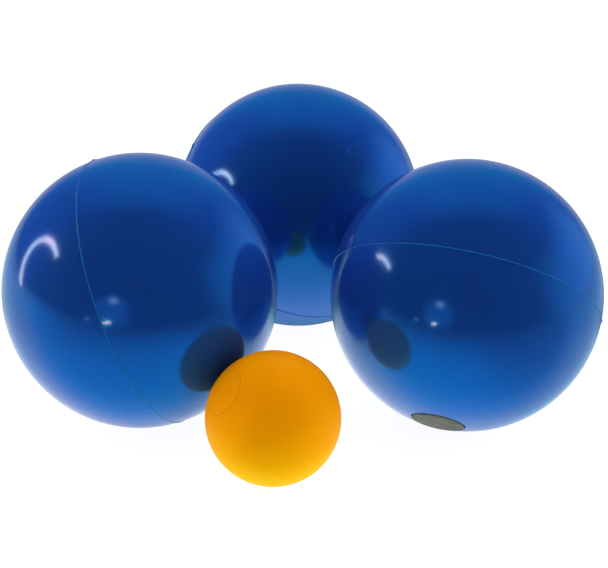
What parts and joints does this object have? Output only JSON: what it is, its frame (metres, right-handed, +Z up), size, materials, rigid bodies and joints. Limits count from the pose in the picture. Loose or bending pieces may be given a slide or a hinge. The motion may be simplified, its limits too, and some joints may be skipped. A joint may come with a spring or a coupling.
{
  "type": "bocce ball set",
  "caption": "Bocce set: hollow plastic balls with a raised weld seam and a rubber filling bung, and a small plain target ball, all loose and free to roll.",
  "frame": {"origin": "centre of the set's footprint, on the ground", "axes": "+Z up, +X from the left ball towards the right ball, +Y from the jack towards the far ball"},
  "size_m": [0.2344, 0.2316, 0.107],
  "materials": {
    "ball_plastic": "gloss",
    "weld_plastic": "satin",
    "bung_rubber": "matte",
    "jack_plastic": "satin",
    "sand": "matte"
  },
  "bodies": {
    "left_ball": {"left_ball_plain_half_shell": "ball_plastic", "left_ball_port_half_shell": "ball_plastic", "left_ball_weld_bead": "weld_plastic", "left_ball_bung": "bung_rubber", "left_ball_sand_fill": "sand"},
    "right_ball_fill": {"right_ball_sand_fill": "sand"},
    "right_ball": {"right_ball_plain_half_shell": "ball_plastic", "right_ball_port_half_shell": "ball_plastic", "right_ball_weld_bead": "weld_plastic", "right_ball_bung": "bung_rubber"},
    "far_ball_fill": {"far_ball_sand_fill": "sand"},
    "far_ball": {"far_ball_plain_half_shell": "ball_plastic", "far_ball_port_half_shell": "ball_plastic", "far_ball_weld_bead": "weld_plastic", "far_ball_bung": "bung_rubber"},
    "jack_fill": {"jack_sand_fill": "sand"},
    "jack": {"jack_shell": "jack_plastic", "jack_plug": "jack_plastic"}
  },
  "joints": [
    {"name": "right_ball_travel", "type": "slide", "parent": "left_ball", "child": "right_ball_fill", "axis": [1, 0, 0], "range_m": [0, 0.25]},
    {"name": "right_ball_roll", "type": "hinge", "parent": "right_ball_fill", "child": "right_ball", "pos_m": [0.0637, -0.03333, 0.0535], "axis": [0, 1, 0], "range_deg": [0, 270]},
    {"name": "far_ball_travel", "type": "slide", "parent": "left_ball", "child": "far_ball_fill", "axis": [0, 1, 0], "range_m": [0, 0.25]},
    {"name": "far_ball_roll", "type": "hinge", "parent": "far_ball_fill", "child": "far_ball", "pos_m": [-0.0041, 0.06227, 0.0535], "axis": [-1, 0, 0], "range_deg": [0, 270]},
    {"name": "jack_travel", "type": "slide", "parent": "left_ball", "child": "jack_fill", "axis": [0, -1, 0], "range_m": [0, 0.118]},
    {"name": "jack_roll", "type": "hinge", "parent": "jack_fill", "child": "jack", "pos_m": [-0.0098, -0.09052, 0.02525], "axis": [1, 0, 0], "range_deg": [0, 270]}
  ],
  "couplings": [
    {"joint": "right_ball_roll", "follows": "right_ball_travel", "rad_per_m": 18.692},
    {"joint": "far_ball_roll", "follows": "far_ball_travel", "rad_per_m": 18.692},
    {"joint": "jack_roll", "follows": "jack_travel", "rad_per_m": 39.604}
  ]
}
